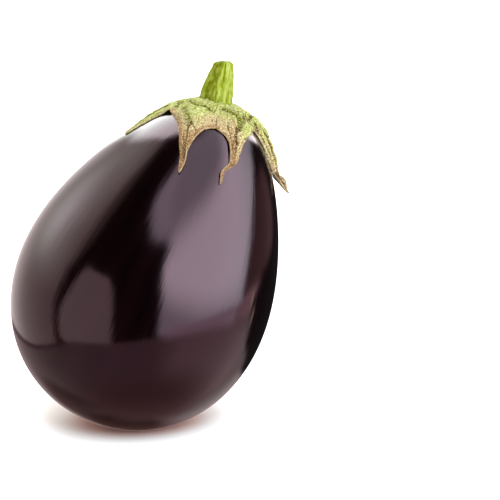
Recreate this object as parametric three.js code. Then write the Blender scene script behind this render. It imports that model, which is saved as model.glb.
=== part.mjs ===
// A globe eggplant: the glossy fruit, its green calyx of six fused sepals and the cut stem.
// Millimetres, +Z up. The origin is the middle of the small flat spot that the fruit rests on.
// Fruit, calyx and stem are laid out in the fruit's own growing frame, with the blossom end
// at the origin and the stem end up +Z. A group then leans that frame onto the resting spot.
import * as THREE from 'three';
import { mergeVertices } from 'three/addons/utils/BufferGeometryUtils.js';

const { cos, sin, PI, hypot, sqrt, abs, min, max, atan2, acos } = Math;
const degrees = THREE.MathUtils.degToRad;

// ---- driving dimensions -------------------------------------------------------------------
const FRUIT_LENGTH = 144.5; // blossom end to crown, along the fruit's axis
const FRUIT_FULLNESS = [52.8, 13.0, -3.1, -2.1, 3.8]; // half width, in powers of cos(theta)
const FRUIT_OVAL = 0.02; // front to back the body is this much flatter than side to side
const FRUIT_LOBES = 0.006; // faint three-sided swelling of the body
const BODY_FADE = [90, 120]; // the crown is round: both fade out between these heights
const LEAN = degrees(24.76); // of the fruit's axis from upright, towards +X
const SPOT_DEPTH = 2.4; // how far the resting spot is pressed into the round body
const SPOT_EDGE = 0.6; // half height of the soft rim around the spot

const CROWN_MIDDLE = 117; // height of the point that the crown is round about
const CROWN_TILT = degrees(-6.2); // the calyx sits a little to the upper side of the axis
const CROWN_RADIUS = 30; // turns a distance over the crown into an angle
const GAP = 0.3; // clearance between neighbouring pieces

const SINUS_ROWS = 7; // rows of a sepal from the middle out to the sinuses
const SEPAL_ROWS = 24; // rows from the middle to the tip
const SEPAL_COLUMNS = 8;
const CALYX_MIDDLE = 22; // distance from the middle to where a sepal comes free
const COLLAR_THICK = 2.0; // calyx thickness under the stem
const EDGE_THICK = 0.9; // calyx thickness along the free edges
const BLADE_HALF = 4.8; // half width of a sepal's free blade
const TIP_HALF = 0.35; // half width of its blunt tip
// The notches between sepals, as [angle in degrees, distance from the middle].
const SINUSES = [[22, 22], [82, 23], [144, 22.5], [202, 23.4], [271, 23.7], [344, 19]];
// Each sepal lies between the notch before it and its own. tip is its reach over the crown,
// bend its sideways sweep, fall how fast either edge draws in from its notch, lift how far
// the tip stands off the fruit and from where, keel its midrib's height, hook a late sideways
// step and where along the blade it lies.
const SEPALS = [
  { angle: 354.5, tip: 46.4, bend: -5.6, fall: [3, 5], lift: [4.6, 0.72], keel: 3.3, hook: [0, 0.8] },
  { angle: 52, tip: 44, bend: 4, fall: [5, 3], lift: [1.0, 0.5], keel: 2.6, hook: [0, 0.8] },
  { angle: 112, tip: 42, bend: -4, fall: [3, 4], lift: [2.0, 0.6], keel: 2.2, hook: [2, 0.8] },
  { angle: 176, tip: 42, bend: 10, fall: [3.4, 2.5], lift: [0.3, 0.4], keel: 1.5, hook: [0, 0.8] },
  { angle: 238, tip: 43.4, bend: 12.9, fall: [1.6, 2.1], lift: [0.5, 0.5], keel: 1.4, hook: [1.6, 0.8] },
  { angle: 302, tip: 44, bend: -7.4, fall: [4.2, 1.8], lift: [0.8, 0.5], keel: 1.6, hook: [-5.6, 0.81] },
];
const HOOK_LENGTH = 0.16; // share of the blade that a hook takes

const STEM_LENGTH = 15.4;
const STEM_LEAN = degrees(9.5); // of the stem from upright, towards +X
const STEM_FOOT = -2.7; // the stem's foot on the calyx, from its middle along X
const STEM_RADIUS = 6.75; // at the foot
const STEM_TAPER = 1.8; // lost by the radius along the length
const STEM_SHOULDER = 1.1; // lost again at the worn top
const SHOULDER_START = 0.6; // share of the length where the worn top begins
const SHOULDER_SHIFT = 0.5; // how far the worn top moves towards +X
const STEM_RIBS = 5;
const RIB_DEPTH = 0.06; // as a share of the radius
const RIB_ANGLE = degrees(268); // direction of one rib
const CUT_SLOPE = [0.17, -0.14]; // rise of the cut end per length towards +X and the back
const FOOT_BLEND = 0.25; // share of the length in which the foot takes up the calyx's curve

// ---- small helpers ------------------------------------------------------------------------
const smooth = (x) => THREE.MathUtils.smoothstep(x, 0, 1);
const polynomial = (terms, x) => terms.reduceRight((sum, term) => sum * x + term, 0);

// Adds the triangles of a grid of points to a list. Flipping turns them to face the other way.
function addSheet(triangles, grid, flipped = false) {
  for (let row = 0; row + 1 < grid.length; row += 1) {
    for (let column = 0; column + 1 < grid[row].length; column += 1) {
      const a = grid[row][column];
      const b = grid[row][column + 1];
      const c = grid[row + 1][column + 1];
      const d = grid[row + 1][column];
      triangles.push(flipped ? [a, c, b] : [a, b, c]);
      triangles.push(flipped ? [a, d, c] : [a, c, d]);
    }
  }
}

// One closed body from a list of triangles: those that shrink to a line at a pole are dropped.
function closedBody(triangles) {
  const thin = 1e-5;
  const solid = triangles.filter(([a, b, c]) => (
    min(a.distanceTo(b), b.distanceTo(c), c.distanceTo(a)) > thin
  ));
  const loose = new THREE.BufferGeometry().setFromPoints(solid.flat());
  const body = mergeVertices(loose, 1e-4);
  body.computeVertexNormals();
  return body;
}

// ---- fruit --------------------------------------------------------------------------------
// Height and radius of the fruit at theta, which runs from 0 at the blossom end to PI.
function fruitProfile(theta) {
  const height = FRUIT_LENGTH / 2 * (1 - cos(theta));
  return { height, radius: sin(theta) * polynomial(FRUIT_FULLNESS, cos(theta)) };
}

// How much wider or narrower than round the fruit is at a height, towards turn.
function fruitSwell(height, turn) {
  const shaped = 1 - THREE.MathUtils.smoothstep(height, ...BODY_FADE);
  const oval = -FRUIT_OVAL * (1 - cos(2 * turn)) / 2;
  return 1 + shaped * (oval + FRUIT_LOBES * sin(3 * turn));
}

function fruitPoint(theta, turn) {
  const { height, radius } = fruitProfile(theta);
  const out = radius * fruitSwell(height, turn);
  return new THREE.Vector3(out * cos(turn), out * sin(turn), height);
}

// The lowest point of the round body once it leans, which the resting spot is centred on.
function lowestPoint() {
  const up = new THREE.Vector3(-sin(LEAN), 0, cos(LEAN));
  let lowest = fruitPoint(0, 0);
  for (let theta = 0; theta < 1; theta += 0.0005) {
    const point = fruitPoint(theta, 0);
    if (point.dot(up) < lowest.dot(up)) lowest = point;
  }
  return { lowest, up };
}

// Presses a point of the body flat where it would reach below the surface it rests on.
function pressOnto(point, { lowest, up }) {
  const height = point.clone().sub(lowest).dot(up) - SPOT_DEPTH;
  if (height >= SPOT_EDGE) return point;
  const pressed = height <= -SPOT_EDGE ? 0 : (height + SPOT_EDGE) ** 2 / (4 * SPOT_EDGE);
  return point.clone().addScaledVector(up, pressed - height);
}

function fruitGeometry(rest) {
  const rings = 42;
  const sides = 68;
  const grid = [];
  for (let ring = 0; ring <= rings; ring += 1) {
    const row = [];
    for (let side = 0; side <= sides; side += 1) {
      const point = fruitPoint(PI * ring / rings, 2 * PI * (side % sides) / sides);
      if (ring === 0) point.set(0, 0, 0);
      if (ring === rings) point.set(0, 0, FRUIT_LENGTH);
      row.push(pressOnto(point, rest));
    }
    grid.push(row);
  }
  const triangles = [];
  addSheet(triangles, grid);
  return closedBody(triangles);
}

// ---- the crown, as a chart for the calyx and the stem ---------------------------------------
// theta of the fruit's surface in a direction from the crown's middle, by halving.
function thetaTowards(fromAxis) {
  let low = 0;
  let high = PI;
  for (let step = 0; step < 40; step += 1) {
    const middle = (low + high) / 2;
    const { height, radius } = fruitProfile(middle);
    if (atan2(radius, height - CROWN_MIDDLE) > fromAxis) low = middle;
    else high = middle;
  }
  return (low + high) / 2;
}

// The point that stands lift above the skin at chart place x, y, which are distances over
// the crown from the calyx's middle.
function aboveSkin(x, y, lift) {
  const reach = hypot(x, y);
  const angle = reach / CROWN_RADIUS;
  const towards = new THREE.Vector3(0, 0, 1);
  if (reach > 0) towards.set(sin(angle) * x / reach, sin(angle) * y / reach, cos(angle));
  towards.applyAxisAngle(new THREE.Vector3(0, 1, 0), CROWN_TILT);
  const theta = thetaTowards(acos(max(-1, min(1, towards.z))));
  const turn = atan2(towards.y, towards.x);
  const { height, radius } = fruitProfile(theta);
  const step = 1e-3;
  const before = fruitProfile(max(0, theta - step));
  const after = fruitProfile(min(PI, theta + step));
  const slope = atan2(after.height - before.height, after.radius - before.radius);
  const out = radius * fruitSwell(height, turn) + lift * sin(slope);
  return new THREE.Vector3(out * cos(turn), out * sin(turn), height - lift * cos(slope));
}

// ---- calyx --------------------------------------------------------------------------------
// A notch seen from one sepal: how far along the sepal's own direction it lies, and across.
function notchFrom(sepal, notch) {
  const [angle, reach] = SINUSES[(notch + SINUSES.length) % SINUSES.length];
  const turn = degrees(angle - SEPALS[sepal].angle);
  return { along: reach * cos(turn), across: reach * sin(turn) };
}

// Chart place of one point of a sepal: row counts from the middle to the tip, across runs
// from -1 at one edge to 1 at the other.
function sepalPlace(sepal, row, across) {
  const { angle, tip, bend, fall, hook } = SEPALS[sepal];
  const blade = max(0, (row - SINUS_ROWS) / (SEPAL_ROWS - SINUS_ROWS));
  const inner = min(1, row / SINUS_ROWS);
  const edge = (notch, drop) => {
    const reach = hypot(notch.along, notch.across);
    const free = BLADE_HALF * (1 - blade) ** 0.62 + TIP_HALF * blade;
    const half = (abs(notch.across) - BLADE_HALF) * (1 - blade) ** drop + free;
    const along = sqrt(reach ** 2 - half ** 2) + (tip - reach) * blade ** 1.5;
    return { along: along * inner, across: Math.sign(notch.across) * half * inner };
  };
  const left = edge(notchFrom(sepal, sepal - 1), fall[0]);
  const right = edge(notchFrom(sepal, sepal), fall[1]);
  const middle = (CALYX_MIDDLE + (tip - CALYX_MIDDLE) * blade ** 1.2) * inner;
  const toLeft = (across * across - across) / 2;
  const toRight = (across * across + across) / 2;
  const sweep = bend * blade ** 1.4 + hook[0] * smooth((blade - hook[1]) / HOOK_LENGTH + 0.5);
  const along = toLeft * left.along + (1 - across * across) * middle + toRight * right.along;
  const aside = toLeft * left.across + toRight * right.across + sweep;
  const turn = degrees(angle);
  return {
    x: along * cos(turn) - aside * sin(turn),
    y: along * sin(turn) + aside * cos(turn),
  };
}

// Height over the skin of a sepal's underside, and the sepal's thickness there.
function sepalHeights(sepal, row, across) {
  const { lift, keel } = SEPALS[sepal];
  const blade = max(0, (row - SINUS_ROWS) / (SEPAL_ROWS - SINUS_ROWS));
  const out = smooth((row / SINUS_ROWS - 0.25) / 0.6);
  const under = GAP + lift[0] * max(0, (blade - lift[1]) / (1 - lift[1])) ** 1.5;
  const ridge = keel * out * (1 - 0.6 * blade) * (1 - across ** 2) ** 2;
  return { under, thick: COLLAR_THICK + (EDGE_THICK - COLLAR_THICK) * out + ridge };
}

function calyxGeometry() {
  const triangles = [];
  for (let sepal = 0; sepal < SEPALS.length; sepal += 1) {
    const upper = [];
    const lower = [];
    for (let row = 0; row <= SEPAL_ROWS; row += 1) {
      upper.push([]);
      lower.push([]);
      for (let column = 0; column <= SEPAL_COLUMNS; column += 1) {
        const across = 2 * column / SEPAL_COLUMNS - 1;
        const { x, y } = sepalPlace(sepal, row, across);
        const { under, thick } = sepalHeights(sepal, row, across);
        upper[row].push(aboveSkin(x, y, under + thick));
        lower[row].push(aboveSkin(x, y, under));
      }
    }
    addSheet(triangles, upper, true);
    addSheet(triangles, lower);
    const free = (rows, column) => rows.slice(SINUS_ROWS).map((row) => row.at(column));
    addSheet(triangles, [free(upper, 0), free(lower, 0)], true);
    addSheet(triangles, [free(upper, -1), free(lower, -1)]);
    addSheet(triangles, [upper.at(-1), lower.at(-1)], true);
  }
  return closedBody(triangles);
}

// ---- stem ---------------------------------------------------------------------------------
function stemRadius(share, turn) {
  const worn = STEM_SHOULDER * smooth((share - SHOULDER_START) / (1 - SHOULDER_START));
  const ribs = 1 + RIB_DEPTH * cos(STEM_RIBS * (turn - RIB_ANGLE));
  return (STEM_RADIUS - STEM_TAPER * share - worn) * ribs;
}

function stemGeometry() {
  const sides = 40;
  const rows = 12;
  const lean = STEM_LEAN - LEAN;
  const foot = aboveSkin(STEM_FOOT, 0, COLLAR_THICK + 2 * GAP);
  // A point of the stem at a share of its length, fill of the way from its core to its side.
  const inside = (share, turn, fill) => {
    const radius = stemRadius(share, turn) * fill;
    const x = radius * cos(turn);
    const y = radius * sin(turn);
    const shift = SHOULDER_SHIFT * smooth((share - SHOULDER_START) / (1 - SHOULDER_START));
    const cut = (CUT_SLOPE[0] * x + CUT_SLOPE[1] * y) * share ** 4;
    const point = new THREE.Vector3(x + shift, y, STEM_LENGTH * share + cut);
    point.applyAxisAngle(new THREE.Vector3(0, 1, 0), lean).add(foot);
    const settle = max(0, 1 - share / FOOT_BLEND);
    const seat = aboveSkin(STEM_FOOT + x, y, COLLAR_THICK + 2 * GAP);
    return point.lerp(seat, smooth(settle));
  };
  const ring = (share, fill) => {
    const points = [];
    for (let side = 0; side <= sides; side += 1) {
      points.push(inside(share, 2 * PI * (side % sides) / sides, fill));
    }
    return points;
  };
  const grid = [ring(0, 0), ring(0, 0.5)];
  for (let row = 0; row <= rows; row += 1) grid.push(ring(row / rows, 1));
  grid.push(ring(1, 0.6), ring(1, 0));
  const triangles = [];
  addSheet(triangles, grid);
  return closedBody(triangles);
}

// ---- the part -----------------------------------------------------------------------------
function named(name, geometry, colour, roughness) {
  const material = new THREE.MeshStandardMaterial({ color: colour, roughness, metalness: 0 });
  const mesh = new THREE.Mesh(geometry, material);
  mesh.name = name;
  return mesh;
}

const rest = lowestPoint();
const grown = new THREE.Group();
grown.add(named('fruit', fruitGeometry(rest), 0x1a0d14, 0.15));
grown.add(named('calyx', calyxGeometry(), 0x9cab5c, 0.6));
grown.add(named('stem', stemGeometry(), 0x8fa52a, 0.55));
grown.rotation.y = LEAN;
grown.position.copy(rest.lowest).addScaledVector(rest.up, SPOT_DEPTH).negate();
grown.position.applyAxisAngle(new THREE.Vector3(0, 1, 0), LEAN);

const eggplant = new THREE.Group();
eggplant.add(grown);
export default eggplant;
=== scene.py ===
import bmesh
import bpy
import numpy as np
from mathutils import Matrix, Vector, noise


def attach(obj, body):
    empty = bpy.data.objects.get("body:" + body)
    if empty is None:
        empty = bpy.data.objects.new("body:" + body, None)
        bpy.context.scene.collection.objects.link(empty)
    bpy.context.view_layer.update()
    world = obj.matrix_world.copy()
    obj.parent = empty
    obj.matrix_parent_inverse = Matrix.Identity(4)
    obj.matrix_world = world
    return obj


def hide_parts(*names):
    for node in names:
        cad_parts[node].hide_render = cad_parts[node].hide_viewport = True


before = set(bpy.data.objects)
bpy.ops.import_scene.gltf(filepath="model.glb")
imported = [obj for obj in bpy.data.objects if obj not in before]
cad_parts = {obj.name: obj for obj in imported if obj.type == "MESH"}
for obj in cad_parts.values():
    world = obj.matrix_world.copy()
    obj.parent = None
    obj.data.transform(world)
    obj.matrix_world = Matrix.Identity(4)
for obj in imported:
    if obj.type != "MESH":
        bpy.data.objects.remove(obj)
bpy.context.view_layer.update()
scene = bpy.context.scene
MM = 0.001

# ---- driving dimensions --------------------------------------------------------------------
# The fruit, the crown and the stem are as in the part's source. The calyx is drawn finer, with
# a thinner edge and its sepals within a few millimetres of the source's.
FRUIT_LENGTH = 144.5  # blossom end to crown, along the fruit's axis
FRUIT_FULLNESS = (52.8, 13.0, -3.1, -2.1, 3.8)  # half width, in powers of cos(theta)
FRUIT_OVAL = 0.02  # share by which the body is flatter front to back
FRUIT_LOBES = 0.006  # faint three-sided swelling of the body
BODY_FADE = (90, 120)  # the crown is round: both fade out between these heights
LEAN = np.radians(24.76)  # of the fruit's axis from upright, towards +X
SPOT_DEPTH = 2.4  # how far the resting spot is pressed in
SPOT_EDGE = 0.6  # half height of the soft rim around the spot

CROWN_MIDDLE = 117  # height of the point that the crown is round about
CROWN_TILT = np.radians(-6.2)  # the calyx sits a little to the upper side of the axis
CROWN_RADIUS = 30  # turns a distance over the crown into an angle
STEM_GAP = 0.3  # clearance between the calyx and the stem
LEAF_GAP = 0.15  # clearance between the skin and the calyx
SNUG_SHARE = 0.15  # share of that clearance that the left sepal keeps

SINUS_ROW = 7  # count of a sepal's rows from the middle out to the notches
TIP_ROW = 24  # and out to the tip
CALYX_MIDDLE = 22  # from there a sepal comes free
COLLAR_THICK = 2.0  # calyx thickness under the stem
COLLAR_THINS = (0.25, 0.6)  # start and length of its thinning, as shares of the way out
EDGE_THICK = 0.5  # along the free edges
LEAST_THICK = 0.25
BLADE_HALF = 4.8  # half width of a sepal's free blade
BLADE_TAPER = 0.62
TIP_HALF = 0.35  # half width of its blunt tip
HOOK_LENGTH = 0.16  # share of the blade that a hook takes

# The notches between the sepals: direction over the crown chart, and distance from its middle.
SINUSES = ((22, 22), (82, 23), (144, 22.5), (202, 24.1), (271, 22.4), (344, 18.6))
RIGHT_SEPAL = 0
LEFT_SEPAL = 3
# Each sepal's direction, how far out its tip is, how far it bends aside, how fast its two edges
# fall in from the notches, how high its tip lifts off the skin and from which share of the
# blade, its keel's height, and how far a hook turns its tip aside and where. Then how much the
# keel slumps at the notches, how much the tip flares and is pinched before it, how much the
# right edge swells past the notch, how much the edges lift part way along, how much the tip
# curls into a gutter and rolls over, and how dry the sepal is.
PLAIN_SEPAL = dict(hook=(0, 0.8), slump=0, flare=0, pinch=0, swell=0, edge_lift=0, gutter=0,
                   roll=0)
SEPALS = (
    dict(PLAIN_SEPAL, angle=8, tip=47.8, bend=-3.6, fall=(6, 4), lift=(4.9, 0.82), keel=4.8,
         slump=0.9, flare=0.95, pinch=1, edge_lift=-0.1, gutter=1.5, roll=2.1, dryness=0.32),
    dict(PLAIN_SEPAL, angle=52, tip=44, bend=4, fall=(5, 3), lift=(1.0, 0.5), keel=2.6,
         flare=0.3, gutter=0.4, roll=0.6, dryness=0.7),
    dict(PLAIN_SEPAL, angle=112, tip=42, bend=-4, fall=(3, 4), lift=(2.0, 0.6), keel=2.2,
         hook=(2, 0.8), flare=0.5, gutter=0.6, roll=0.8, dryness=0.8),
    dict(PLAIN_SEPAL, angle=176, tip=41.3, bend=11, fall=(3.4, 1), lift=(0, 0.5), keel=1.5,
         dryness=0.05),
    dict(PLAIN_SEPAL, angle=238, tip=43.4, bend=13.1, fall=(2.3, 2.8), lift=(0.5, 0.5), keel=1.4,
         hook=(1.6, 0.8), flare=0.1, gutter=0.2, dryness=1),
    dict(PLAIN_SEPAL, angle=302, tip=43.2, bend=-7.4, fall=(4.2, 1.9), lift=(0.2, 0.7), keel=1.6,
         hook=(-5.6, 0.81), flare=-0.4, swell=1.4, gutter=0.3, dryness=0.95),
)
# Where along a blade, as shares from its notches to its tip: a place and its half width, or
# where a change starts and how long it takes.
SLUMP = (0, 0.22)
SWELL = (0.16, 0.13)
SWELL_START = (0, 0.1)
SNUG_START = (0, 0.4)
EDGE_LIFT = (0.68, 0.12)
CURL_START = (0.78, 0.08)
CURL_END = (0.88, 0.14)
FLARE_START = (0.8, 0.08)
FLARE_END = (0.9, 0.12)
PINCH = (0.81, 0.035)
KNOT = (0.81, 0.045)
TROUGH_START = (0.83, 0.05)
TIP_START = (0.6, 0.3)
DRY_START = (0.1, 0.5)

STEM_LENGTH = 15.4
STEM_LEAN = np.radians(9.5)  # of the stem from upright, towards +X
STEM_FOOT = -2.7  # the stem's foot on the calyx, from its middle along X
STEM_RADIUS = 6.75  # at the foot
STEM_TAPER = 1.8  # lost by the radius along the length
STEM_SHOULDER = 1.1  # lost again at the worn top
SHOULDER_START = 0.6  # share of the length where the worn top begins
SHOULDER_SHIFT = 0.5  # how far the worn top moves towards +X
STEM_RIBS = 5
RIB_DEPTH = 0.06  # as a share of the radius
RIB_ANGLE = np.radians(268)  # direction of one rib
STEM_WAIST = (1.1, 0.64, 0.27)  # depth on the left, place along the length and half width
CUT_SLOPE = (0.17, -0.14)  # rise of the cut end per length towards +X and the back
CUT_ROUND = 0.08  # share of the length in which the side rounds over to the cut
CUT_DOME = 0.6  # how far the middle of the cut stands above its rim
FOOT_BLEND = 0.25  # share of the length in which the foot takes up the calyx's curve

# Fineness of the meshes and of the search for the skin.
FRUIT_SIDES = 256
FRUIT_RINGS = 192
SEPAL_COLUMNS = 58
COLLAR_ROWS = 38
BLADE_ROWS = 64
STEM_SIDES = 180
STEM_RINGS = 150
FOOT_RINGS = 0.1  # share of the stem's rings under its foot
SIDE_RINGS = 0.78  # and up to the rim of its cut
HALVINGS = 40
THETA_STEP = 1e-3


# ---- small helpers -------------------------------------------------------------------------
def smooth(x):
    """0 below 0, 1 above 1, with a soft step between."""
    x = np.clip(x, 0.0, 1.0)
    return x * x * (3 - 2 * x)


def rise_at(x, start, length):
    """0 up to start, 1 from start + length, with a soft step between."""
    return smooth((x - start) / length)


def bump(x, width):
    """A soft bell: 1 at 0, nearly gone at twice the width."""
    return np.exp(-((x / width) ** 2))


def bump_at(x, place, width):
    """A soft bell round a place."""
    return bump(x - place, width)


def places_of(mesh_points):
    """Points of a bmesh as an array of rows."""
    return np.array([v.co for v in mesh_points], float)


NOISE_GAIN = 1.6
SEED_STEP = (17.3, 5.1, 9.7)


def wander(points, size, seed):
    """Smooth noise of about -1 to 1 at points, with lumps of the given size."""
    offset = Vector([seed * step for step in SEED_STEP])
    return np.array([noise.noise(Vector(p) / size + offset) for p in points]) * NOISE_GAIN


def on_plan(x, y):
    """Points on the flat plane through the origin."""
    return np.stack([x, y, 0 * x], 1)


def around(radius, turn, height):
    """Points at a distance and a turn about the upright axis."""
    return np.stack([radius * np.cos(turn), radius * np.sin(turn), height], 1)


def leaned(points, angle):
    """Points turned about Y, their tops towards +X."""
    x, y, z = points.T
    lean_x = x * np.cos(angle) + z * np.sin(angle)
    return np.stack([lean_x, y, z * np.cos(angle) - x * np.sin(angle)], 1)


def spot_at(x, y, px, py, radius):
    """A soft round spot."""
    return bump(np.hypot(x - px, y - py), radius)


# ---- fruit shape ---------------------------------------------------------------------------
def fruit_profile(theta):
    """Height and radius of the fruit; theta runs from 0 at the blossom end to pi."""
    fullness = np.polynomial.polynomial.polyval(np.cos(theta), FRUIT_FULLNESS)
    return FRUIT_LENGTH / 2 * (1 - np.cos(theta)), np.sin(theta) * fullness


def fruit_swell(height, turn):
    low, high = BODY_FADE
    shaped = 1 - rise_at(height, low, high - low)
    oval = -FRUIT_OVAL * (1 - np.cos(2 * turn)) / 2
    return 1 + shaped * (oval + FRUIT_LOBES * np.sin(3 * turn))


def resting_spot():
    """The lowest point of the leaning round body, and the way up, in the growing frame."""
    up = np.array([-np.sin(LEAN), 0, np.cos(LEAN)])
    height, radius = fruit_profile(np.arange(0, 1, 0.0005))
    line = np.stack([radius, 0 * radius, height], 1)
    return line[(line @ up).argmin()], up


LOWEST, UP = resting_spot()


def pressed_onto_floor(points):
    height = (points - LOWEST) @ UP - SPOT_DEPTH
    eased = np.where(height <= -SPOT_EDGE, 0, (height + SPOT_EDGE) ** 2 / (4 * SPOT_EDGE))
    moved = np.where(height < SPOT_EDGE, eased - height, 0)
    return points + moved[:, None] * UP


def placed(points):
    """Growing frame in millimetres to the part's frame in metres."""
    foot = LOWEST + UP * SPOT_DEPTH
    return (leaned(points, LEAN) - leaned(foot[None], LEAN)) * MM


def above_skin(x, y, lift):
    """The point that stands lift above the skin at chart place x, y over the crown."""
    reach = np.hypot(x, y)
    angle = reach / CROWN_RADIUS
    safe = np.maximum(reach, 1e-9)
    side_x = np.sin(angle) * x / safe
    side_y = np.sin(angle) * y / safe
    toward = leaned(np.stack([side_x, side_y, np.cos(angle)], 1), CROWN_TILT)
    from_axis = np.arccos(np.clip(toward[:, 2], -1, 1))
    turn = np.arctan2(toward[:, 1], toward[:, 0])
    low = np.zeros_like(from_axis)
    high = np.full_like(from_axis, np.pi)
    for _ in range(HALVINGS):
        middle = (low + high) / 2
        height, radius = fruit_profile(middle)
        short = np.arctan2(radius, height - CROWN_MIDDLE) > from_axis
        low = np.where(short, middle, low)
        high = np.where(short, high, middle)
    theta = (low + high) / 2
    height, radius = fruit_profile(theta)
    height_before, radius_before = fruit_profile(np.maximum(0, theta - THETA_STEP))
    height_after, radius_after = fruit_profile(np.minimum(np.pi, theta + THETA_STEP))
    slope = np.arctan2(height_after - height_before, radius_after - radius_before)
    out = radius * fruit_swell(height, turn) + lift * np.sin(slope)
    return around(out, turn, height - lift * np.cos(slope))


def finished_piece(name, mesh_maker, points, masks):
    """Makes the object of a bmesh whose vertices go to points, and stores masks on them."""
    mesh = bpy.data.meshes.new(name)
    mesh_maker.to_mesh(mesh)
    mesh_maker.free()
    mesh.vertices.foreach_set("co", placed(points).astype(np.float32).ravel())
    for mask, values in masks.items():
        kind = "FLOAT" if values.ndim == 1 else "FLOAT_VECTOR"
        socket = "value" if values.ndim == 1 else "vector"
        layer = mesh.attributes.new(mask, kind, "POINT")
        layer.data.foreach_set(socket, values.astype(np.float32).ravel())
    mesh.shade_smooth()
    mesh.update()
    piece = bpy.data.objects.new(name, mesh)
    scene.collection.objects.link(piece)
    return piece


# ---- fruit ---------------------------------------------------------------------------------
# Rubbed russet streaks on the skin: turn in degrees, theta, half widths both ways, strength.
SCARS = (
    (323, 1.72, 0.025, 0.09, 1),
    (326.5, 1.62, 0.02, 0.12, 0.9),
    (283, 2.25, 0.006, 0.05, 0.7),
    (96, 1.5, 0.03, 0.2, 0.9),
    (101, 1.35, 0.02, 0.12, 0.7),
    (172, 1.9, 0.02, 0.16, 0.7),
)


def make_fruit():
    ball = bmesh.new()
    bmesh.ops.create_uvsphere(ball, u_segments=FRUIT_SIDES, v_segments=FRUIT_RINGS, radius=1)
    unit = places_of(ball.verts)
    theta = np.arccos(np.clip(-unit[:, 2], -1, 1))
    turn = np.arctan2(unit[:, 1], unit[:, 0])
    height, radius = fruit_profile(theta)
    round_body = around(radius * fruit_swell(height, turn), turn, height)
    points = pressed_onto_floor(round_body)
    streak = around(1, turn, theta)
    scar = np.zeros_like(theta)
    for at_turn, at_theta, wide, long, strength in SCARS:
        off = (turn - np.radians(at_turn) + np.pi) % (2 * np.pi) - np.pi
        scar += strength * bump(off, wide) * bump_at(theta, at_theta, long)
    return finished_piece("fruit_skin", ball, points, {"streak": streak, "scar": scar})


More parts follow.
